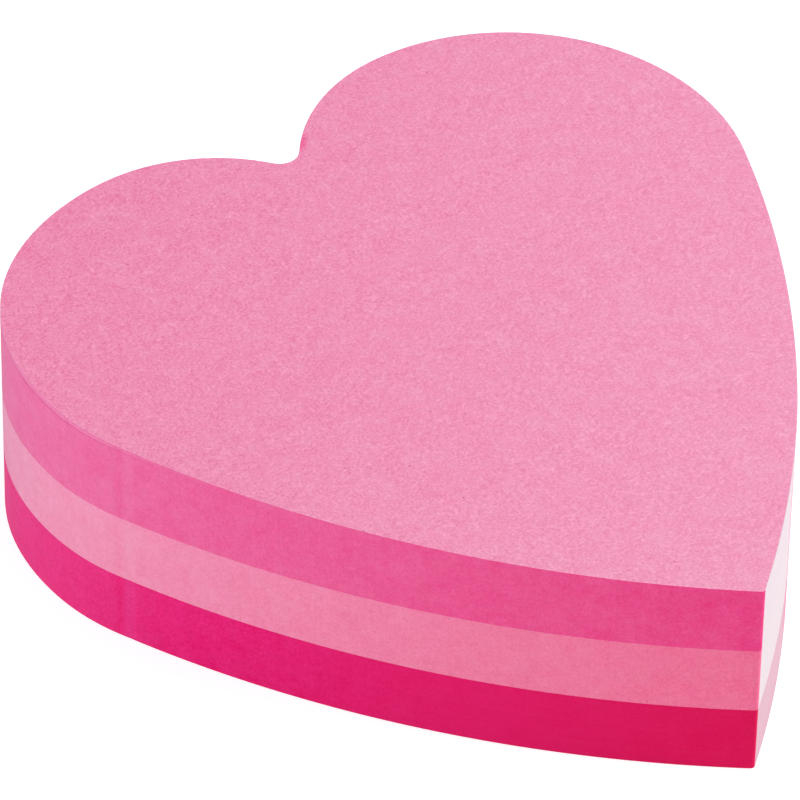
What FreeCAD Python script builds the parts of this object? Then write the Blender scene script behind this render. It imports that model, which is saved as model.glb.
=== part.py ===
"""Heart-shaped pad of sticky notes: three blocks of die-cut paper sheets, one on the other.

Millimetres, +Z up. The origin is the middle of the box round the underside. +Y runs from the
heart's tip to its notch and +X across it. The outline is a chain of arcs that touch each other:
tip, flank, lobe, inner side and notch. The crown is the line along X that both lobes touch, the
whole heart length from the tip, and the notch depth is measured down from it.
"""
import FreeCAD, Part
import math
import os

# Outline that the die cuts
heart_width = 70.0
heart_length = 72.8
tip_radius = 0.4
flank_radius = 110.0
lobe_radius = 20.5
notch_depth = 7.0
notch_radius = 1.7

# Sheets, which lie in three blocks of one colour each
sheet_thickness = 0.0887
sheets_in_bottom_block = 75
sheets_in_middle_block = 75
sheets_in_top_block = 75

# The top block is looser under the lobes than at the tip, and stands this much thicker there
lobe_end_lift = 2.0

# How far the cutting wedge for the lifted face reaches past the heart
wedge_overrun = 5.0


def on_circle(centre, radius, angle):
    """Point of a circle at an angle in radians, from +X towards +Y."""
    return centre + FreeCAD.Vector(radius * math.cos(angle), radius * math.sin(angle), 0)


def angle_from(centre, point):
    """Angle of a point seen from a centre, in radians, from +X towards +Y."""
    return math.atan2(point.y - centre.y, point.x - centre.x)


def arc(centre, radius, start, end):
    """Edge along a circle from one angle to another."""
    angles = (start, (start + end) / 2, end)
    return Part.Arc(*[on_circle(centre, radius, angle) for angle in angles]).toShape()


def flank_centre(tip_centre, lobe_centre):
    """Centre of the wide circle that holds the tip circle and the lobe circle and touches both."""
    to_tip = flank_radius - tip_radius
    to_lobe = flank_radius - lobe_radius
    chord = lobe_centre - tip_centre
    along = chord.Length / 2 + (to_tip ** 2 - to_lobe ** 2) / (2 * chord.Length)
    aside = math.sqrt(to_tip ** 2 - along ** 2)
    direction = chord * (1 / chord.Length)
    normal = FreeCAD.Vector(-direction.y, direction.x, 0)
    return tip_centre + direction * along + normal * aside


def inner_radius(lobe_centre):
    """Radius of the arc that leaves the crown level and touches the notch circle."""
    return (notch_depth ** 2 - 2 * notch_depth * notch_radius + lobe_centre.x ** 2) / (2 * notch_depth)


def heart_edges():
    """Edges of the heart, tip arc first, then the right side, the notch and the left side."""
    tip_y = -heart_length / 2
    crown_y = heart_length / 2
    tip = FreeCAD.Vector(0, tip_y + tip_radius, 0)
    lobe = FreeCAD.Vector(heart_width / 2 - lobe_radius, crown_y - lobe_radius, 0)
    flank = flank_centre(tip, lobe)
    inner = FreeCAD.Vector(lobe.x, crown_y - inner_radius(lobe), 0)
    notch = FreeCAD.Vector(0, crown_y - notch_depth + notch_radius, 0)

    crown = math.pi / 2
    leaves_tip = angle_from(flank, tip)
    meets_lobe = angle_from(flank, lobe)
    meets_notch = angle_from(inner, notch) % (2 * math.pi)
    right = [
        arc(flank, flank_radius, leaves_tip, meets_lobe),
        arc(lobe, lobe_radius, meets_lobe, crown),
        arc(inner, inner_radius(lobe), crown, meets_notch),
    ]
    left = [edge.mirror(FreeCAD.Vector(), FreeCAD.Vector(1, 0, 0)) for edge in right]
    tip_edge = arc(tip, tip_radius, -math.pi - leaves_tip, leaves_tip)
    notch_edge = arc(notch, notch_radius, meets_notch - math.pi, -meets_notch)
    return [tip_edge] + right + [notch_edge] + left


def block(bottom, height):
    """Straight stack of heart-shaped sheets on a given level."""
    outline = Part.Wire(Part.sortEdges(heart_edges())[0])
    outline.translate(FreeCAD.Vector(0, 0, bottom))
    return Part.Face(outline).extrude(FreeCAD.Vector(0, 0, height))


def lifted_block(bottom, height):
    """Stack whose upper face climbs from the tip to the crown by the lift."""
    low_y = -heart_length / 2 - wedge_overrun
    high_y = heart_length / 2 + wedge_overrun
    slope = lobe_end_lift / heart_length
    top = bottom + height
    profile = Part.makePolygon([
        FreeCAD.Vector(0, low_y, bottom),
        FreeCAD.Vector(0, high_y, bottom),
        FreeCAD.Vector(0, high_y, top + lobe_end_lift + slope * wedge_overrun),
        FreeCAD.Vector(0, low_y, top - slope * wedge_overrun),
        FreeCAD.Vector(0, low_y, bottom),
    ])
    side_x = heart_width / 2 + wedge_overrun
    profile.translate(FreeCAD.Vector(-side_x, 0, 0))
    wedge = Part.Face(profile).extrude(FreeCAD.Vector(2 * side_x, 0, 0))
    stack = block(bottom, height + 2 * lobe_end_lift)
    return stack.common(wedge).Solids[0]


def build():
    """All nodes of the pad, by name."""
    middle_level = sheets_in_bottom_block * sheet_thickness
    top_level = middle_level + sheets_in_middle_block * sheet_thickness
    return {
        "bottom_sheets_deep_pink": block(0, middle_level),
        "middle_sheets_pale_pink": block(middle_level, sheets_in_middle_block * sheet_thickness),
        "top_sheets_bright_pink": lifted_block(top_level, sheets_in_top_block * sheet_thickness),
    }


os.makedirs("parts", exist_ok=True)
for name, solid in build().items():
    solid.exportStep("parts/" + name + ".step")
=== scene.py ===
"""Heart-shaped pad of sticky notes in three pinks, dressed for its picture.

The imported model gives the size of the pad. Each of its three blocks is shown as a stack of single sheets that
one steel-rule die has cut together, so the cut edge has the fine steps between sheets and the upright marks of
the knife. Lengths are in millimetres until a mesh is finished, and the finished mesh is in metres.
"""

import logging
import math
import random
from dataclasses import dataclass, field
from enum import Enum

import bmesh
import bpy
from mathutils import Matrix, Quaternion, Vector
from mathutils.geometry import intersect_sphere_sphere_2d

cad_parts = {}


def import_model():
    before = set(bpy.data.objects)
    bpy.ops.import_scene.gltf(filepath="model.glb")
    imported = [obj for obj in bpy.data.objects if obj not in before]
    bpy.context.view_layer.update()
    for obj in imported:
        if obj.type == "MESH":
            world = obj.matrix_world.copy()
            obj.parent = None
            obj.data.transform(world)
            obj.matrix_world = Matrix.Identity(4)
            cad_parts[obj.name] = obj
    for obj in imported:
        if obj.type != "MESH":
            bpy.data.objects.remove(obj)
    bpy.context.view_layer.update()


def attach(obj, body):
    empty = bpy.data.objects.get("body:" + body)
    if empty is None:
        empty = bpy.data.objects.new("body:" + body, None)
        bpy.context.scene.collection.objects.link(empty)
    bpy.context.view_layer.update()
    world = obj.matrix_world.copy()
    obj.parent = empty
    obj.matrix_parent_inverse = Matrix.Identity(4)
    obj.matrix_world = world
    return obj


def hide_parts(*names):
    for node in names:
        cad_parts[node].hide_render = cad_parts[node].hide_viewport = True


LOG = logging.getLogger("sticky_note_pad")
METRES = 0.001
IN_PLACE = Matrix.Identity(4)
RUN_MAP = "run_of_the_cut"
PAINTED_RIM_MARK = "painted_rim_highlight"
LOOSE_MARK = "loosened_sheets"


def linear(colour: str) -> tuple[float, float, float, float]:
    """Turn an sRGB colour into the linear one that a shader takes.

    Args:
        colour: Six hexadecimal digits after a hash sign.

    Returns:
        Red, green and blue in linear light, and an opacity of one.
    """
    parts = [int(colour[place : place + 2], 16) / 255 for place in (1, 3, 5)]
    red, green, blue = (p / 12.92 if p <= 0.04045 else ((p + 0.055) / 1.055) ** 2.4 for p in parts)
    return red, green, blue, 1.0


def add(
    tree: bpy.types.NodeTree,
    kind: str,
    settings: dict[str, object] | None = None,
    inputs: dict[str | int, object] | None = None,
) -> bpy.types.Node:
    """Add one node with its settings, values and links.

    Args:
        tree: Node tree that takes the node.
        kind: Blender's name for this kind of node.
        settings: Properties of the node.
        inputs: Sockets by name or number, each with a value or with the output that is linked to it.

    Returns:
        The new node.
    """
    node = tree.nodes.new(kind)
    for name, value in (settings or {}).items():
        setattr(node, name, value)
    for name, value in (inputs or {}).items():
        if isinstance(value, bpy.types.NodeSocket):
            tree.links.new(value, node.inputs[name])
        else:
            node.inputs[name].default_value = value
    return node


def empty_material(name: str) -> tuple[bpy.types.Material, bpy.types.NodeTree]:
    """Make a material with no nodes in it.

    Args:
        name: What the real material is called.

    Returns:
        The material and its node tree.
    """
    material = bpy.data.materials.new(name)
    material.use_nodes = True
    material.node_tree.nodes.clear()
    return material, material.node_tree


@dataclass(frozen=True)
class Grain:
    """One scale of unevenness in a sheet of paper or in its cut edge."""

    size: float
    strength: float
    detail: float = 1.0
    stretch: tuple[float, float, float] = (1.0, 1.0, 1.0)
    turn: float = 0.0

    def drawn(self, tree: bpy.types.NodeTree, place: bpy.types.NodeSocket) -> bpy.types.NodeSocket:
        """Draw the grain as a value about zero.

        Args:
            tree: Node tree that takes the nodes.
            place: Position on the piece, in metres, or along its cut edge, in millimetres.

        Returns:
            The grain, from minus to plus half its strength.
        """
        turned = add(
            tree,
            "ShaderNodeMapping",
            {"vector_type": "POINT"},
            {"Vector": place, "Rotation": (0.0, 0.0, self.turn), "Scale": self.stretch},
        )
        noise = add(
            tree,
            "ShaderNodeTexNoise",
            {"noise_dimensions": "3D"},
            {"Vector": turned.outputs[0], "Scale": 1 / self.size, "Detail": self.detail, "Roughness": 0.6},
        )
        level = add(tree, "ShaderNodeMath", {"operation": "SUBTRACT"}, {0: noise.outputs[0], 1: 0.5})
        return add(
            tree,
            "ShaderNodeMath",
            {"operation": "MULTIPLY"},
            {0: level.outputs[0], 1: self.strength},
        ).outputs[0]


def total(
    tree: bpy.types.NodeTree, start: float, parts: list[bpy.types.NodeSocket]
) -> bpy.types.NodeSocket:
    """Add several values up.

    Args:
        tree: Node tree that takes the nodes.
        start: Number that the sum starts from.
        parts: Values to add.

    Returns:
        The sum.
    """
    running = start
    for part in parts:
        running = add(tree, "ShaderNodeMath", {"operation": "ADD"}, {0: running, 1: part}).outputs[0]
    return running


def ramp(
    tree: bpy.types.NodeTree, value: bpy.types.NodeSocket, start: float, end: float, falling: bool = False
) -> bpy.types.NodeSocket:
    """Rise smoothly from zero to one between two limits.

    Args:
        tree: Node tree that takes the nodes.
        value: Value that is compared with the limits.
        start: Where the ramp starts.
        end: Where it ends.
        falling: Fall from one to zero instead.

    Returns:
        The ramp, which stays level outside its limits.
    """
    ends = {"To Min": float(falling), "To Max": float(not falling)}
    return add(
        tree,
        "ShaderNodeMapRange",
        {"interpolation_type": "SMOOTHSTEP"},
        {"Value": value, "From Min": start, "From Max": end} | ends,
    ).outputs[0]


def millimetres(tree: bpy.types.NodeTree) -> bpy.types.NodeSocket:
    """Give the position on the piece in millimetres.

    Args:
        tree: Node tree that takes the nodes.

    Returns:
        The position, with the pad's own foot as its origin.
    """
    seat = add(tree, "ShaderNodeTexCoord")
    scale = (1 / METRES, 1 / METRES, 1 / METRES)
    return add(tree, "ShaderNodeMapping", None, {"Vector": seat.outputs["Object"], "Scale": scale}).outputs[0]


def blended(
    tree: bpy.types.NodeTree,
    share: bpy.types.NodeSocket,
    first: str | bpy.types.NodeSocket,
    last: str | bpy.types.NodeSocket,
) -> bpy.types.NodeSocket:
    """Blend two colours.

    Args:
        tree: Node tree that takes the nodes.
        share: Zero for the first colour and one for the last.
        first: Colour as hexadecimal digits, or the output that gives it.
        last: The other colour, in the same way.

    Returns:
        The blend.
    """
    ends = [linear(colour) if isinstance(colour, str) else colour for colour in (first, last)]
    return add(tree, "ShaderNodeMix", {"data_type": "RGBA"}, {0: share, 6: ends[0], 7: ends[1]}).outputs[2]


def toned(
    tree: bpy.types.NodeTree,
    colour: bpy.types.NodeSocket,
    plain: str,
    layers: list[tuple[bpy.types.NodeSocket, str]],
) -> bpy.types.NodeSocket:
    """Lay tones on a colour.

    Args:
        tree: Node tree that takes the nodes.
        colour: Colour that takes the tones.
        plain: Colour that the tones are measured from.
        layers: Tones about zero, each with the colour that one whole unit of it makes of the plain one.

    Returns:
        The finished colour.
    """
    start = linear(plain)
    for tone, goal in layers:
        lift = tuple(end - begin for begin, end in zip(start[:3], linear(goal)[:3]))
        colour = add(
            tree,
            "ShaderNodeVectorMath",
            {"operation": "MULTIPLY_ADD"},
            {0: tone, 1: lift, 2: colour},
        ).outputs[0]
    return colour


@dataclass(frozen=True)
class NotePaper:
    """Uncoated woodfree note paper, dyed in the pulp.

    The pulp gives a matt face with cloudy patches, a fine tooth, short pale fibres that lie in every
    direction and a few dark red flecks of undispersed dye. The colour is painted a little paler towards the tip
    and the right, painted light from the lamp on that side, and a paler line along the border is a painted
    highlight where the edge catches the light.
    """

    name: str
    colour: str
    painted_lit_side: str
    palest: str
    less_dyed: str
    fleck: str = "#B0305F"
    roughness: float = 0.85
    grains: tuple[Grain, ...] = (
        Grain(size=0.55, strength=0.95, detail=2.0),
        # Real fibres are 0.02 mm wide, a quarter of a pixel, so the tooth is drawn ten times as coarse.
        Grain(size=0.22, strength=4.00, detail=1.0),
    )
    clouds: tuple[Grain, ...] = (
        Grain(size=0.85, strength=1.10, detail=2.0),
        Grain(size=2.4, strength=1.00, detail=1.0),
    )
    fibre_width: float = 0.16
    fibre_length: float = 0.9
    fibre_turns: tuple[float, ...] = (0.35, 1.45, 2.55)
    fibre_from: float = 0.66
    fibre_full: float = 0.74
    fibre_tone: float = 0.50
    fleck_gap: float = 3.2
    fleck_radius: float = 0.075
    painted_rim_tone: float = 1.0
    tooth: float = 0.12
    tooth_depth: float = 0.02
    # On the right of the notch the knife has pressed the top sheet to a deeper pink.
    bruise: float = 0.0
    bruise_place: tuple[float, float, float] = (2.2, 30.9, 0.0)
    bruise_turn: float = math.radians(45.0)
    bruise_reach: tuple[float, float, float] = (1.9, 0.85, 1000.0)
    pale_turn: float = math.radians(40.0)
    pale_reach: float = 45.0

    def fibres(self, tree: bpy.types.NodeTree, place: bpy.types.NodeSocket) -> bpy.types.NodeSocket:
        """Draw short fibres in three directions.

        Args:
            tree: Node tree that takes the nodes.
            place: Position on the piece, in millimetres.

        Returns:
            One on a fibre and zero between them.
        """
        strokes = []
        for turn in self.fibre_turns:
            laid = add(
                tree,
                "ShaderNodeMapping",
                {"vector_type": "TEXTURE"},
                {
                    "Vector": place,
                    "Rotation": (0.0, 0.0, turn),
                    "Scale": (self.fibre_length, self.fibre_width, 1.0),
                },
            )
            pulp = {"Vector": laid.outputs[0], "Scale": 1.0, "Detail": 0.0}
            noise = add(tree, "ShaderNodeTexNoise", None, pulp)
            limits = {"Value": noise.outputs[0], "From Min": self.fibre_from, "From Max": self.fibre_full}
            strokes.append(add(tree, "ShaderNodeMapRange", None, limits).outputs[0])
        return total(tree, 0.0, strokes)

    def flecks(self, tree: bpy.types.NodeTree, place: bpy.types.NodeSocket) -> bpy.types.NodeSocket:
        """Draw sparse round flecks.

        Args:
            tree: Node tree that takes the nodes.
            place: Position on the piece, in millimetres.

        Returns:
            One on a fleck and zero off it.
        """
        cells = add(
            tree,
            "ShaderNodeTexVoronoi",
            {"feature": "F1"},
            {"Vector": place, "Scale": 1 / self.fleck_gap},
        )
        reach = self.fleck_radius / self.fleck_gap
        spot = add(
            tree,
            "ShaderNodeMapRange",
            None,
            {
                "Value": cells.outputs["Distance"],
                "From Min": reach * 0.6,
                "From Max": reach * 1.4,
                "To Min": 1.0,
                "To Max": 0.0,
            },
        )
        return spot.outputs[0]

    def pressed(self, tree: bpy.types.NodeTree, place: bpy.types.NodeSocket) -> bpy.types.NodeSocket:
        """Draw the darker place beside the notch.

        Args:
            tree: Node tree that takes the nodes.
            place: Position on the piece, in millimetres.

        Returns:
            Minus the strength of the bruise at its middle, and zero away from it.
        """
        seat = {
            "Vector": place,
            "Location": self.bruise_place,
            "Rotation": (0.0, 0.0, self.bruise_turn),
            "Scale": self.bruise_reach,
        }
        centred = add(tree, "ShaderNodeMapping", {"vector_type": "TEXTURE"}, seat)
        away = add(tree, "ShaderNodeVectorMath", {"operation": "LENGTH"}, {0: centred.outputs[0]})
        share = ramp(tree, away.outputs["Value"], 0.1, 1.0, falling=True)
        return add(tree, "ShaderNodeMath", {"operation": "MULTIPLY"}, {0: share, 1: -self.bruise}).outputs[0]

    def painted_light_share(self, tree: bpy.types.NodeTree, place: bpy.types.NodeSocket) -> bpy.types.NodeSocket:
        """Find how far a point lies towards the side that is painted paler as painted light.

        Args:
            tree: Node tree that takes the nodes.
            place: Position on the piece, in millimetres.

        Returns:
            Zero at the far lobe and one at the side painted paler.
        """
        turn = {"Vector": place, "Rotation": (0.0, 0.0, self.pale_turn)}
        turned = add(tree, "ShaderNodeMapping", None, turn)
        along = add(tree, "ShaderNodeSeparateXYZ", None, {0: turned.outputs[0]})
        return add(
            tree,
            "ShaderNodeMapRange",
            None,
            {"Value": along.outputs[0], "From Min": -self.pale_reach, "From Max": self.pale_reach},
        ).outputs[0]

    def material(self) -> bpy.types.Material:
        """Make the material.

        Returns:
            The paper as it shows on the face of a sheet.
        """
        material, tree = empty_material(self.name)
        place = millimetres(tree)
        parts = [grain.drawn(tree, place) for grain in self.grains]
        # The rim mark paints a highlight on the border of the writing face.
        rim = add(tree, "ShaderNodeAttribute", {"attribute_name": PAINTED_RIM_MARK}).outputs["Fac"]
        for mark, strength in ((self.fibres(tree, place), self.fibre_tone), (rim, self.painted_rim_tone)):
            share = {0: mark, 1: strength}
            parts.append(add(tree, "ShaderNodeMath", {"operation": "MULTIPLY"}, share).outputs[0])
        tone = total(tree, 0.0, parts)
        clouds = [grain.drawn(tree, place) for grain in self.clouds]
        cloud = total(tree, 0.0, clouds + [self.pressed(tree, place)])
        # Painted light: the face is painted paler towards the tip and the right, the side of the right lamp.
        plain = blended(tree, self.painted_light_share(tree, place), self.colour, self.painted_lit_side)
        paper = toned(tree, plain, self.colour, [(tone, self.palest), (cloud, self.less_dyed)])
        flecked = blended(tree, self.flecks(tree, place), paper, self.fleck)
        tooth = {"Strength": self.tooth, "Distance": self.tooth_depth * METRES, "Height": tone}
        bump = add(tree, "ShaderNodeBump", None, tooth)
        shader = add(
            tree,
            "ShaderNodeBsdfPrincipled",
            None,
            {
                "Base Color": flecked,
                "Roughness": self.roughness,
                "IOR": 1.5,
                "Specular IOR Level": 0.2,
                "Normal": bump.outputs[0],
            },
        )
        add(tree, "ShaderNodeOutputMaterial", None, {"Surface": shader.outputs[0]})
        return material


@dataclass(frozen=True)
class CutEdge:
    """Edge of a stack of dyed note paper, cut by a steel-rule die.

    The cut shows the inside of the dyed sheets, so it is deeper in colour than the face. The knife enters at
    the tip, where it leaves the smoothest cut. The colour is deepest at the tip and painted paler towards the
    lobes, a painted sheen and painted light where the wall turns to a low angle. The knife also leaves faint
    upright streaks, and a pale band with a dark side where the rule is joined. Along the straight flanks the
    colour is painted nearly white where a flank is seen at a low angle, a painted sheen. Sheets that have come
    loose show a paler edge.
    """

    name: str
    tip_colour: str
    lobe_colour: str
    palest: str
    less_dyed: str
    far_painted_sheen: str
    painted_sheen: str
    joint_mark: float
    smooth_tip: float = 0.85
    rough_lobe: float = 1.0
    smooth_to: float = 24.0
    rough_from: float = 46.0
    # The lobe tone limits and pale_to set where the lobes are painted paler, a painted sheen.
    lobe_tone_from: float = 46.0
    lobe_tone_to: float = 68.0
    loose_tone: float = 0.8
    roughness: float = 0.75
    nap: float = 0.22
    nap_roughness: float = 0.32
    sheet: float = 0.0887
    sheet_contrast: float = 0.03
    pale_to: float = 75.0
    # These limits set where the flanks take their painted sheen at a low angle.
    flank_end: float = 40.0
    flank_fade: float = 52.0
    painted_sheen_from: float = 0.74
    painted_sheen_full: float = 0.85
    painted_sheen_end: float = 0.965
    joint_light: tuple[float, float] = (-55.1, 0.75)
    joint_dark: tuple[float, float] = (-56.25, 0.4)
    joint_shade: float = 0.7
    tooth: float = 0.10
    tooth_depth: float = 0.02
    grains: tuple[Grain, ...] = (
        Grain(size=1.4, strength=0.45, detail=2.0),
        Grain(size=0.45, strength=0.60, detail=1.0),
        Grain(size=0.22, strength=1.75, detail=1.0),
    )
    clouds: tuple[Grain, ...] = (
        Grain(size=0.85, strength=0.90, detail=2.0),
        Grain(size=2.4, strength=0.80, detail=1.0),
    )
    streaks: tuple[Grain, ...] = (
        # The knife's own scratches are about 0.1 mm wide and run up the whole stack.
        Grain(size=1.0, strength=0.40, detail=3.0, stretch=(2.5, 0.02, 1.0)),
        Grain(size=1.0, strength=0.30, detail=1.0, stretch=(0.35, 0.05, 1.0)),
    )

    def material(self) -> bpy.types.Material:
        """Make the material.

        Returns:
            The cut edge, which reads the run of the cut from the piece's own map.
        """
        material, tree = empty_material(self.name)
        place = millimetres(tree)
        run = add(tree, "ShaderNodeUVMap", {"uv_map": RUN_MAP}).outputs[0]
        along, up = add(tree, "ShaderNodeSeparateXYZ", None, {0: run}).outputs[:2]
        far = add(tree, "ShaderNodeMath", {"operation": "ABSOLUTE"}, {0: along}).outputs[0]
        parts = [grain.drawn(tree, place) for grain in self.grains]
        parts += [streak.drawn(tree, run) for streak in self.streaks]
        parts.append(self.sheet_tone(tree, up))
        clouds = [grain.drawn(tree, place) for grain in self.clouds]
        loosened = add(tree, "ShaderNodeAttribute", {"attribute_name": LOOSE_MARK}).outputs["Fac"]
        rough = self.roughed(tree, far)
        tone, dyed_cloud, pale = (
            add(tree, "ShaderNodeMath", {"operation": "MULTIPLY"}, {0: mark, 1: share}).outputs[0]
            for mark, share in (
                (total(tree, 0.0, parts), rough),
                (total(tree, 0.0, clouds), rough),
                (loosened, self.loose_tone),
            )
        )
        cloud = total(tree, 0.0, [dyed_cloud, pale, *self.joint(tree, along)])
        # Painted sheen: the colour is painted paler from the tip towards the lobes, and paler again round the
        # far lobes.
        reach = {0: far, 1: self.pale_to}
        lobe_share = add(tree, "ShaderNodeMath", {"operation": "DIVIDE"}, reach).outputs[0]
        plain = blended(tree, lobe_share, self.tip_colour, self.lobe_colour)
        lobe_tone = ramp(tree, far, self.lobe_tone_from, self.lobe_tone_to)
        layers = [(tone, self.palest), (cloud, self.less_dyed), (lobe_tone, self.far_painted_sheen)]
        dyed = toned(tree, plain, self.tip_colour, layers)
        # Painted sheen: the flanks are painted nearly white where they are seen at a low angle.
        colour = blended(tree, self.painted_sheen_mask(tree, far), dyed, self.painted_sheen)
        tooth = {"Strength": self.tooth, "Distance": self.tooth_depth * METRES, "Height": tone}
        bump = add(tree, "ShaderNodeBump", None, tooth)
        shader = add(
            tree,
            "ShaderNodeBsdfPrincipled",
            None,
            {
                "Base Color": colour,
                "Roughness": self.roughness,
                "IOR": 1.5,
                "Specular IOR Level": 0.1,
                "Sheen Weight": self.nap,
                "Sheen Roughness": self.nap_roughness,
                "Sheen Tint": (1.0, 0.95, 0.97, 1.0),
                "Normal": bump.outputs[0],
            },
        )
        add(tree, "ShaderNodeOutputMaterial", None, {"Surface": shader.outputs[0]})
        return material

    def roughed(self, tree: bpy.types.NodeTree, far: bpy.types.NodeSocket) -> bpy.types.NodeSocket:
        """Find how rough the cut is: smoothest at the tip, where the knife enters.

        Args:
            tree: Node tree that takes the nodes.
            far: Distance along the cut from the tip, in millimetres.

        Returns:
            One where the cut is roughest.
        """
        return add(
            tree,
            "ShaderNodeMapRange",
            None,
            {
                "Value": far,
                "From Min": self.smooth_to,
                "From Max": self.rough_from,
                "To Min": self.smooth_tip,
                "To Max": self.rough_lobe,
            },
        ).outputs[0]

    def painted_sheen_mask(self, tree: bpy.types.NodeTree, far: bpy.types.NodeSocket) -> bpy.types.NodeSocket:
        """Find where a flank takes its painted sheen.

        Args:
            tree: Node tree that takes the nodes.
            far: Distance along the cut from the tip, in millimetres.

        Returns:
            One where the flank is seen at a low angle, and zero elsewhere and on its very outline.
        """
        # The steps between sheets are left out of the direction, so that the painted sheen covers only the
        # flank as a whole.
        normal = add(tree, "ShaderNodeNewGeometry").outputs["Normal"]
        level = add(tree, "ShaderNodeVectorMath", {"operation": "MULTIPLY"}, {0: normal, 1: (1.0, 1.0, 0.0)})
        wall = add(tree, "ShaderNodeVectorMath", {"operation": "NORMALIZE"}, {0: level.outputs[0]}).outputs[0]
        slant = add(tree, "ShaderNodeLayerWeight", None, {"Blend": 0.5, "Normal": wall}).outputs["Facing"]
        painted_sheen = ramp(tree, slant, self.painted_sheen_from, self.painted_sheen_full)
        for limit in (
            ramp(tree, slant, self.painted_sheen_end, 1.0, falling=True),
            ramp(tree, far, self.flank_end, self.flank_fade, falling=True),
        ):
            painted_sheen = add(tree, "ShaderNodeMath", {"operation": "MULTIPLY"}, {0: painted_sheen, 1: limit}).outputs[0]
        return painted_sheen

    def joint(self, tree: bpy.types.NodeTree, along: bpy.types.NodeSocket) -> list[bpy.types.NodeSocket]:
        """Draw the two sides of the mark that the joint of the rule leaves.

        Args:
            tree: Node tree that takes the nodes.
            along: Distance along the cut from the tip, in millimetres, negative on the left half.

        Returns:
            The pale band and the dark line beside it, as tones.
        """
        sides = []
        for (centre, reach), strength in ((self.joint_light, 1.0), (self.joint_dark, -self.joint_shade)):
            away = add(tree, "ShaderNodeMath", {"operation": "SUBTRACT"}, {0: along, 1: centre})
            gap = add(tree, "ShaderNodeMath", {"operation": "ABSOLUTE"}, {0: away.outputs[0]})
            band = ramp(tree, gap.outputs[0], reach / 3, reach, falling=True)
            side = {0: band, 1: strength * self.joint_mark}
            sides.append(add(tree, "ShaderNodeMath", {"operation": "MULTIPLY"}, side).outputs[0])
        return sides

    def sheet_tone(self, tree: bpy.types.NodeTree, up: bpy.types.NodeSocket) -> bpy.types.NodeSocket:
        """Give every sheet of the stack a tone of its own.

        Args:
            tree: Node tree that takes the nodes.
            up: Height in the stack, in millimetres.

        Returns:
            The sheet's tone, about zero.
        """
        count = add(tree, "ShaderNodeMath", {"operation": "DIVIDE"}, {0: up, 1: self.sheet})
        number = add(tree, "ShaderNodeMath", {"operation": "FLOOR"}, {0: count.outputs[0]})
        drawn = add(tree, "ShaderNodeTexWhiteNoise", {"noise_dimensions": "1D"}, {"W": number.outputs[0]})
        level = add(tree, "ShaderNodeMath", {"operation": "SUBTRACT"}, {0: drawn.outputs[0], 1: 0.5})
        return add(
            tree,
            "ShaderNodeMath",
            {"operation": "MULTIPLY"},
            {0: level.outputs[0], 1: self.sheet_contrast},
        ).outputs[0]


@dataclass(frozen=True)
class Arc:
    """One arc of the cutting line, run through anticlockwise where its sweep is positive."""

    centre: Vector
    radius: float
    sweep: float

    def steps(self, stride: float) -> int:
        """Count the straight strokes that stand for the arc, at least four."""
        return max(4, round(self.radius * abs(self.sweep) / stride))


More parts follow.
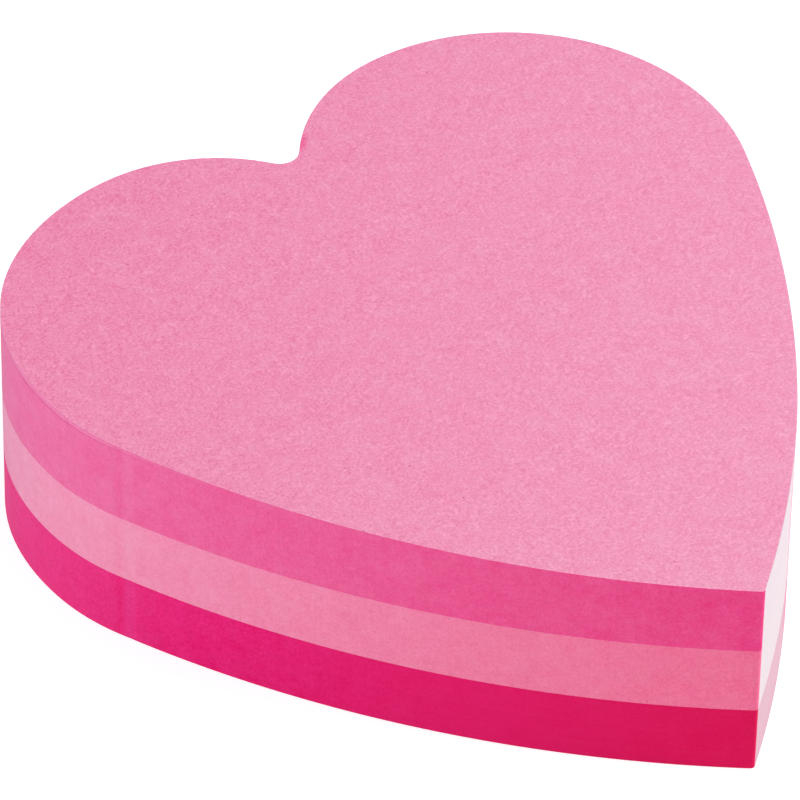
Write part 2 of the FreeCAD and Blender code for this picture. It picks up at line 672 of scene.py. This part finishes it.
@dataclass
class HeartCut:
    """Cutting line of the die: a closed chain of arcs that touch each other."""

    width: float = 70.0
    length: float = 72.8
    tip_radius: float = 0.4
    flank_radius: float = 110.0
    lobe_radius: float = 20.5
    notch_depth: float = 7.0
    notch_radius: float = 1.7
    stride: float = 0.9
    # The rule of the die is joined near the end of one flank, and the joint drags a shallow groove.
    joint_from_tip: float = 55.1
    joint_width: float = 1.0
    joint_depth: float = 0.03
    # A die is bent by hand, and here the left lobe stands out a little further behind its widest place.
    swell_from_tip: float = 78.4
    swell_reach: float = 15.0
    swell: float = 0.42

    def half(self) -> list[Arc]:
        """Work out the arcs of the right half.

        Returns:
            The arcs from the tip to the bottom of the notch.
        """
        crown = self.length / 2
        tip = Vector((0.0, self.tip_radius - crown))
        lobe = Vector((self.width / 2 - self.lobe_radius, crown - self.lobe_radius))
        notch = Vector((0.0, crown - self.notch_depth + self.notch_radius))
        crossings = intersect_sphere_sphere_2d(
            tip, self.flank_radius - self.tip_radius, lobe, self.flank_radius - self.lobe_radius
        )
        flank = min(crossings, key=lambda point: point.x)
        depth = self.notch_depth
        inner_radius = (depth**2 - 2 * depth * self.notch_radius + lobe.x**2) / (2 * depth)
        inner = Vector((lobe.x, crown - inner_radius))
        leave = math.atan2(tip.y - flank.y, tip.x - flank.x)
        meet = math.atan2(lobe.y - flank.y, lobe.x - flank.x)
        turn = math.atan2(notch.y - inner.y, notch.x - inner.x)
        return [
            Arc(tip, self.tip_radius, leave + math.pi / 2),
            Arc(flank, self.flank_radius, meet - leave),
            Arc(lobe, self.lobe_radius, math.pi / 2 - meet),
            Arc(inner, inner_radius, turn - math.pi / 2),
            Arc(notch, self.notch_radius, math.pi / 2 - turn),
        ]

    def trace(self, mesh: bmesh.types.BMesh, inset: float, height: float) -> list[bmesh.types.BMEdge]:
        """Trace the closed line by spinning one point round each arc in turn.

        Args:
            mesh: Mesh that takes the line. Its vertex layer "run" gets the distance from the tip.
            inset: How far inside the cutting line it runs.
            height: Level of the line.

        Returns:
            The edges of the closed line.
        """
        layer = mesh.verts.layers.float.new("run")
        right = self.half()
        left = [Arc(Vector((-arc.centre.x, arc.centre.y)), arc.radius, arc.sweep) for arc in reversed(right)]
        last = bmesh.ops.create_vert(mesh, co=(0.0, inset - self.length / 2, height))["vert"][0]
        for arc in right + left:
            spun = bmesh.ops.spin(
                mesh,
                geom=[last],
                cent=(arc.centre.x, arc.centre.y, height),
                axis=(0.0, 0.0, 1.0),
                dvec=(0.0, 0.0, 0.0),
                angle=arc.sweep,
                space=IN_PLACE,
                steps=arc.steps(self.stride),
                use_merge=False,
                use_normal_flip=False,
                use_duplicate=False,
            )
            last = spun["geom_last"][0]
        bmesh.ops.remove_doubles(mesh, verts=mesh.verts, dist=0.001)
        self.measure(mesh, layer)
        self.swell_lobe(mesh, layer)
        self.mark_joint(mesh, layer)
        self.measure(mesh, layer)
        return mesh.edges[:]

    def measure(self, mesh: bmesh.types.BMesh, layer: bmesh.types.BMLayerItem) -> None:
        """Write each point's distance along the line from the tip, negative on the left half.

        Args:
            mesh: Mesh that holds the line alone.
            layer: Vertex layer that takes the distances.
        """
        around = sum(edge.calc_length() for edge in mesh.edges)
        first = min(mesh.verts, key=lambda vertex: vertex.co.y)
        point, edge, travelled = first, max(first.link_edges, key=lambda e: e.other_vert(first).co.x), 0.0
        while True:
            point[layer] = travelled if travelled < around / 2 else travelled - around
            travelled += edge.calc_length()
            point = edge.other_vert(point)
            if point is first:
                return
            edge = next(other for other in point.link_edges if other is not edge)

    def swell_lobe(self, mesh: bmesh.types.BMesh, layer: bmesh.types.BMLayerItem) -> None:
        """Push the left lobe out about its middle by a fraction of a millimetre.

        Args:
            mesh: Mesh that holds the line alone.
            layer: Vertex layer with the distances along the line.
        """
        middle = Vector((self.lobe_radius - self.width / 2, self.length / 2 - self.lobe_radius, 0.0))
        for vertex in mesh.verts:
            away = abs(vertex[layer] + self.swell_from_tip) / self.swell_reach
            if away < 1.0:
                outward = (vertex.co - middle) * Vector((1.0, 1.0, 0.0))
                vertex.co += outward.normalized() * self.swell * math.cos(away * math.pi / 2) ** 2

    def mark_joint(self, mesh: bmesh.types.BMesh, layer: bmesh.types.BMLayerItem) -> None:
        """Press the groove of the rule's joint into the left flank.

        Args:
            mesh: Mesh that holds the line alone.
            layer: Vertex layer with the distances along the line.
        """
        place = -self.joint_from_tip
        near = [
            edge
            for edge in mesh.edges
            if all(abs(vertex[layer] - place) < 1.5 * self.joint_width for vertex in edge.verts)
        ]
        bmesh.ops.subdivide_edges(mesh, edges=near, cuts=4)
        inward = Vector((1.0, -0.36, 0.0)).normalized()
        middle = min(mesh.verts, key=lambda vertex: abs(vertex[layer] - place)).co.copy()
        for vertex in mesh.verts:
            away = (vertex.co - middle).length / (self.joint_width / 2)
            if away < 1.0:
                vertex.co += inward * self.joint_depth * math.cos(away * math.pi / 2) ** 2


class End(Enum):
    """How the stack ends at the top."""

    COVERED = "another block lies on it"
    OPEN = "its last sheet is the writing face"


@dataclass(frozen=True)
class Ring:
    """One level line round the wall, and how far it moves down and in where the top sheets are loose."""

    share: float
    widen: float = 1.0
    shift: Vector = field(default_factory=lambda: Vector((0.0, 0.0)))
    droop: float = 0.0
    inset: float = 0.0
    fanned: bool = False


@dataclass
class SheetBlock:
    """One colour of the pad: a stack of sheets cut by one die."""

    name: str
    node: str
    slot: str
    face: NotePaper
    edge: CutEdge
    bottom: float
    height: float
    lift: float = 0.0
    end: End = End.COVERED
    seed: int = 1
    sheets: int = 75
    cut: HeartCut = field(default_factory=HeartCut)
    # Sheets in a stack lie a few hundredths of a millimetre out of line.
    play: float = 0.008
    slack: float = 0.02
    hairline_depth: float = 0.006
    hairline_share: float = 0.14
    uneven: float = 0.15
    rim_radius: float = 0.03
    rim_width: float = 0.13
    # Round the lobes the top sheets have fanned out a little over a narrow gap.
    loose_sheets: int = 3
    loose_spread: float = 0.045
    loose_gap: float = 0.10
    loose_settled: int = 24
    loose_from: float = -2.0
    loose_run: float = 16.0

    def droop(self, above: int) -> float:
        """Find how far the upper edge of a sheet sinks where the top sheets are loosest.

        Args:
            above: Number of sheets that lie on this one.

        Returns:
            The way down, in millimetres.
        """
        if self.end is End.COVERED:
            return 0.0
        if above < self.loose_sheets:
            return above * self.loose_spread
        settled = (above - self.loose_sheets) / self.loose_settled
        return (self.loose_sheets * self.loose_spread + self.loose_gap) * max(0.0, 1.0 - settled)

    def looseness(self, y: float) -> float:
        """Say how loose the top sheets are at one place, from zero at the flanks to one round the lobes."""
        return min(1.0, max(0.0, (y - self.loose_from) / self.loose_run))

    def rings(self) -> list[Ring]:
        """Work out the rings of the wall: the lower edge, the upper edge and the hairline of every sheet.

        Returns:
            The rings from the bottom up.
        """
        draw = random.Random(self.seed)
        out = 1 + 2 * self.hairline_depth / self.cut.width
        weights = [draw.uniform(1 - self.uneven, 1 + self.uneven) for _ in range(self.sheets)]
        found = [Ring(0.0)]
        level = 0.0
        for number, weight in enumerate(weights):
            share = weight / sum(weights)
            hairline = share * self.hairline_share / 2
            shift = Vector((draw.uniform(-self.play, self.play), draw.uniform(-self.play, self.play)))
            above = self.sheets - 1 - number
            fanned = self.end is End.OPEN and above < self.loose_sheets
            over_gap = self.end is End.OPEN and above == self.loose_sheets
            lower, upper = self.droop(above + 1), self.droop(above)
            if self.end is End.OPEN and above + 1 == self.loose_sheets:
                lower = self.loose_sheets * self.loose_spread
            gap = self.loose_gap if over_gap else 0.0
            found.append(Ring(level + hairline, out, shift, lower, 0.0, fanned))
            found.append(Ring(level + share - hairline, out, shift, upper, 0.0, fanned))
            found.append(Ring(level + share, 1.0, shift, upper - gap / 2, gap))
            level += share
        if self.end is End.OPEN:
            found[-2:] = [Ring(1.0, out, found[-1].shift, fanned=True)]
        return found

    def stack(self) -> bmesh.types.BMesh:
        """Raise the wall from the cutting line in one piece, cut it into rings and set each one in place.

        Returns:
            The block's mesh, in millimetres, with its distances, heights and marks in vertex layers.
        """
        mesh = bmesh.new()
        line = self.cut.trace(mesh, self.slack + self.hairline_depth, self.bottom)
        rise = mesh.verts.layers.float.new("rise")
        loosened = mesh.verts.layers.float.new(LOOSE_MARK)
        bmesh.ops.contextual_create(mesh, geom=line)
        grown = bmesh.ops.extrude_edge_only(mesh, edges=line)["geom"]
        upper = [part for part in grown if isinstance(part, bmesh.types.BMVert)]
        bmesh.ops.translate(mesh, vec=(0.0, 0.0, self.height), verts=upper)
        for vertex in upper:
            vertex[rise] = 1.0
        rim = [part for part in grown if isinstance(part, bmesh.types.BMEdge)]
        bmesh.ops.contextual_create(mesh, geom=rim)
        rings = self.rings()
        last = len(rings) - 1
        upright = [edge for edge in mesh.edges if edge.verts[0][rise] != edge.verts[1][rise]]
        bmesh.ops.subdivide_edgering(mesh, edges=upright, interp_mode="LINEAR", cuts=last - 1)
        for vertex in mesh.verts:
            ring = rings[round(vertex[rise] * last)]
            loose = self.looseness(vertex.co.y)
            widen = ring.widen - 2 * ring.inset * loose / self.cut.width
            x, y = vertex.co.x * widen + ring.shift.x, vertex.co.y * widen + ring.shift.y
            lifted = self.height + self.lift * (y / self.cut.length + 0.5)
            vertex.co = Vector((x, y, self.bottom + ring.share * lifted - ring.droop * loose**2))
            vertex[rise] = self.bottom + ring.share * self.height
            vertex[loosened] = loose * float(ring.fanned)
        for edge in mesh.edges:
            edge.smooth = abs(edge.verts[0][rise] - edge.verts[1][rise]) > 0
        if self.end is End.OPEN:
            self.finish_rim(mesh, rise)
        return mesh

    def finish_rim(self, mesh: bmesh.types.BMesh, rise: bmesh.types.BMLayerItem) -> None:
        """Mark the border of the writing face for its painted highlight, and round its edge off.

        Args:
            mesh: Mesh of the block, in millimetres.
            rise: Vertex layer with the heights in the stack.
        """
        top = self.bottom + self.height
        # This layer marks the border strip that takes the painted highlight.
        rough = mesh.verts.layers.float.new(PAINTED_RIM_MARK)
        rim = [edge for edge in mesh.edges if all(abs(vertex[rise] - top) < 1e-6 for vertex in edge.verts)]
        face = max(mesh.faces, key=lambda f: (len(f.verts), f.calc_center_median().z))
        for vertex in face.verts:
            vertex[rough] = 1.0
        bmesh.ops.inset_region(mesh, faces=[face], thickness=self.rim_width, use_even_offset=True)
        for vertex in face.verts:
            vertex[rough] = 0.0
        bmesh.ops.bevel(
            mesh,
            geom=rim,
            offset=self.rim_radius,
            offset_type="OFFSET",
            segments=2,
            profile=0.5,
            affect="EDGES",
            material=-1,
        )

    def unroll(self, mesh: bmesh.types.BMesh) -> None:
        """Give each wall face its place along the cut and up the stack, and its material.

        Args:
            mesh: Mesh of the block, in millimetres.
        """
        run, rise = mesh.verts.layers.float["run"], mesh.verts.layers.float["rise"]
        chart = mesh.loops.layers.uv.new(RUN_MAP)
        half_way = max(vertex[run] for vertex in mesh.verts)
        mesh.normal_update()
        for face in mesh.faces:
            wall = abs(face.normal.z) < 0.95
            face.material_index = int(wall)
            face.smooth = wall
            if not wall:
                continue
            crosses_notch = max(v[run] for v in face.verts) - min(v[run] for v in face.verts) > half_way
            for corner in face.loops:
                along = corner.vert[run]
                if crosses_notch and along < 0:
                    along += 2 * half_way
                corner[chart].uv = (along, corner.vert[rise])

    def build(self) -> bpy.types.Object:
        """Build the block, dress it and let it stand for its solid.

        Returns:
            The finished piece.
        """
        mesh = self.stack()
        self.unroll(mesh)
        bmesh.ops.scale(mesh, vec=(METRES, METRES, METRES), verts=mesh.verts)
        bmesh.ops.recalc_face_normals(mesh, faces=mesh.faces)
        data = bpy.data.meshes.new(self.name)
        mesh.to_mesh(data)
        mesh.free()
        data.materials.append(self.face.material())
        data.materials.append(self.edge.material())
        piece = bpy.data.objects.new(self.name, data)
        bpy.context.scene.collection.objects.link(piece)
        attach(piece, "root")
        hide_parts(self.node)
        LOG.info("%s: %d sheets, %d faces", self.name, self.sheets, len(data.polygons))
        return piece


@dataclass
class NotePad:
    """The pad: three blocks of sheets, one on the other."""

    block_height: float = 6.6525
    lobe_end_lift: float = 2.0

    def blocks(self) -> list[SheetBlock]:
        """List the blocks.

        Returns:
            The blocks from the bottom up.
        """
        # In each CutEdge the second and fifth colours paint the lobes paler as painted sheen, and the sixth is
        # the painted sheen of the flanks.
        return [
            # In each NotePaper the second colour is the painted light of the paler side.
            SheetBlock(
                name="bottom_sheets",
                node="bottom_sheets_deep_pink",
                slot="deep_pink_paper",
                face=NotePaper("deep_pink_note_paper", "#DE5088", "#E2609A", "#EC5E96", "#DE6092"),
                edge=CutEdge(
                    "deep_pink_cut_edge",
                    "#DB0B54",
                    "#EC2585",
                    "#E81D6A",
                    "#DB2465",
                    "#DB2D5E",
                    "#CCA8B6",
                    joint_mark=0.75,
                    smooth_tip=0.38,
                    rough_lobe=1.35,
                ),
                bottom=0.0,
                height=self.block_height,
                seed=11,
            ),
            SheetBlock(
                name="middle_sheets",
                node="middle_sheets_pale_pink",
                slot="pale_pink_paper",
                face=NotePaper("pale_pink_note_paper", "#F0ACC4", "#F2BACE", "#FEBAD2", "#F0BCCE"),
                edge=CutEdge(
                    "pale_pink_cut_edge",
                    "#F17098",
                    "#F099BC",
                    "#FB83AB",
                    "#F186A6",
                    "#F1779C",
                    "#D3CACE",
                    joint_mark=0.3,
                ),
                bottom=self.block_height,
                height=self.block_height,
                seed=12,
            ),
            SheetBlock(
                name="top_sheets",
                node="top_sheets_bright_pink",
                slot="bright_pink_paper",
                face=NotePaper(
                    "bright_pink_note_paper", "#ED88AF", "#F09DBE", "#F598BC", "#ED98B9", bruise=2.2
                ),
                edge=CutEdge(
                    "bright_pink_cut_edge",
                    "#EB4687",
                    "#EA70A5",
                    "#F6589A",
                    "#EB6499",
                    "#EB508B",
                    "#D3C8CE",
                    joint_mark=0.25,
                ),
                bottom=2 * self.block_height,
                height=self.block_height,
                lift=self.lobe_end_lift,
                end=End.OPEN,
                seed=13,
            ),
        ]


@dataclass
class SoftLamp:
    """A square soft box that hangs round the pad and points at it."""

    name: str
    azimuth: float
    elevation: float
    distance: float
    size: float
    power: float
    target: Vector = field(default_factory=lambda: Vector((0.0, 0.0, 0.01)))

    def hang(self) -> bpy.types.Object:
        """Hang the lamp. Azimuth 0 is in front of the tip and 90 on the right.

        Returns:
            The lamp.
        """
        turn, climb = math.radians(self.azimuth), math.radians(self.elevation)
        away = Vector(
            (math.sin(turn) * math.cos(climb), -math.cos(turn) * math.cos(climb), math.sin(climb))
        )
        light = bpy.data.lights.new(self.name, "AREA")
        light.shape = "SQUARE"
        light.size = self.size
        light.energy = self.power
        lamp = bpy.data.objects.new(self.name, light)
        lamp.location = self.target + away * self.distance
        lamp.rotation_mode = "QUATERNION"
        lamp.rotation_quaternion = away.to_track_quat("Z", "Y")
        bpy.context.scene.collection.objects.link(lamp)
        return lamp


@dataclass
class Studio:
    """Plain pale floor, white surroundings and soft lamps."""

    floor_radius: float = 3.0
    floor_level: float = -0.0001
    ambient: float = 0.44
    floor_lift: float = 0.64
    lamps: tuple[SoftLamp, ...] = (
        SoftLamp("left_lamp", azimuth=-85.0, elevation=20.0, distance=0.9, size=0.6, power=4.1),
        SoftLamp("right_lamp", azimuth=60.0, elevation=28.0, distance=1.0, size=0.75, power=10.2),
    )

    def seen_flag(self, tree: bpy.types.NodeTree) -> bpy.types.NodeSocket:
        """Find the rays that show the background: from the camera, or off or through gloss.

        Args:
            tree: Node tree that takes the nodes.

        Returns:
            One for those rays and zero for all others.
        """
        path = add(tree, "ShaderNodeLightPath")
        flag = path.outputs["Is Camera Ray"]
        for name in ("Is Glossy Ray", "Is Transmission Ray"):
            either = {0: flag, 1: path.outputs[name]}
            flag = add(tree, "ShaderNodeMath", {"operation": "MAXIMUM"}, either).outputs[0]
        return flag

    def surround(self) -> None:
        """Set a world that lights softly and is seen as plain white."""
        world = bpy.data.worlds.new("white_surroundings")
        world.use_nodes = True
        tree = world.node_tree
        tree.nodes.clear()
        strength = add(
            tree,
            "ShaderNodeMapRange",
            None,
            {"Value": self.seen_flag(tree), "To Min": self.ambient, "To Max": 1.0},
        )
        sky = add(
            tree,
            "ShaderNodeBackground",
            None,
            {"Color": linear("#FFFFFF"), "Strength": strength.outputs[0]},
        )
        add(tree, "ShaderNodeOutputWorld", None, {"Surface": sky.outputs[0]})
        bpy.context.scene.world = world

    def floor_material(self) -> bpy.types.Material:
        """Make a matt white laminate that is seen a little lighter than it is, and keeps the pad's shadow.

        Returns:
            The floor's material.
        """
        material, tree = empty_material("white_laminate")
        matt = add(
            tree,
            "ShaderNodeBsdfPrincipled",
            None,
            {"Base Color": linear("#E2E2E2"), "Roughness": 0.9, "Specular IOR Level": 0.1},
        )
        lift = add(
            tree,
            "ShaderNodeMath",
            {"operation": "MULTIPLY"},
            {0: self.seen_flag(tree), 1: self.floor_lift},
        )
        glow = add(
            tree,
            "ShaderNodeEmission",
            None,
            {"Color": linear("#FFFFFF"), "Strength": lift.outputs[0]},
        )
        both = add(tree, "ShaderNodeAddShader", None, {0: matt.outputs[0], 1: glow.outputs[0]})
        add(tree, "ShaderNodeOutputMaterial", None, {"Surface": both.outputs[0]})
        return material

    def lay_floor(self) -> bpy.types.Object:
        """Lay the floor.

        Returns:
            The floor.
        """
        mesh = bmesh.new()
        bmesh.ops.create_circle(
            mesh,
            cap_ends=True,
            segments=64,
            radius=self.floor_radius,
            matrix=Matrix.Translation((0.0, 0.0, self.floor_level)),
        )
        data = bpy.data.meshes.new("floor")
        mesh.to_mesh(data)
        mesh.free()
        data.materials.append(self.floor_material())
        floor = bpy.data.objects.new("floor", data)
        bpy.context.scene.collection.objects.link(floor)
        return floor

    def set_up(self) -> None:
        """Set up the floor, the surroundings and the lamps."""
        self.surround()
        self.lay_floor()
        for lamp in self.lamps:
            lamp.hang()
        LOG.info("studio: %d lamps", len(self.lamps))


@dataclass
class PhotoCamera:
    """Camera at the photograph's angle. Azimuth 0 is in front of the tip, and negative is to its left."""

    azimuth: float = -37.403
    elevation: float = 40.991
    roll: float = 1.077
    distance: float = 0.681018
    target: Vector = field(default_factory=lambda: Vector((0.004039, 0.018430, 0.0)))
    lens: float = 348.18
    sensor: float = 36.0

    def place(self) -> bpy.types.Object:
        """Place the camera and make it the scene's own.

        Returns:
            The camera.
        """
        turn, climb = math.radians(self.azimuth), math.radians(self.elevation)
        back = Vector(
            (math.sin(turn) * math.cos(climb), -math.cos(turn) * math.cos(climb), math.sin(climb))
        )
        data = bpy.data.cameras.new("photo_camera")
        data.lens = self.lens
        data.sensor_width = self.sensor
        camera = bpy.data.objects.new("photo_camera", data)
        camera.location = self.target + back * self.distance
        camera.rotation_mode = "QUATERNION"
        level = back.to_track_quat("Z", "Y")
        camera.rotation_quaternion = level @ Quaternion((0.0, 0.0, 1.0), math.radians(self.roll))
        bpy.context.scene.collection.objects.link(camera)
        bpy.context.scene.camera = camera
        LOG.info("camera: lens %.0f mm", self.lens)
        return camera


def main() -> None:
    """Build the pad, the studio and the camera, and report each piece."""
    logging.basicConfig(level=logging.INFO, format="%(name)s: %(message)s")
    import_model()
    for block in NotePad().blocks():
        block.build()
    Studio().set_up()
    PhotoCamera().place()
    bpy.context.scene.view_settings.view_transform = "Standard"


if __name__ == "__main__":
    main()
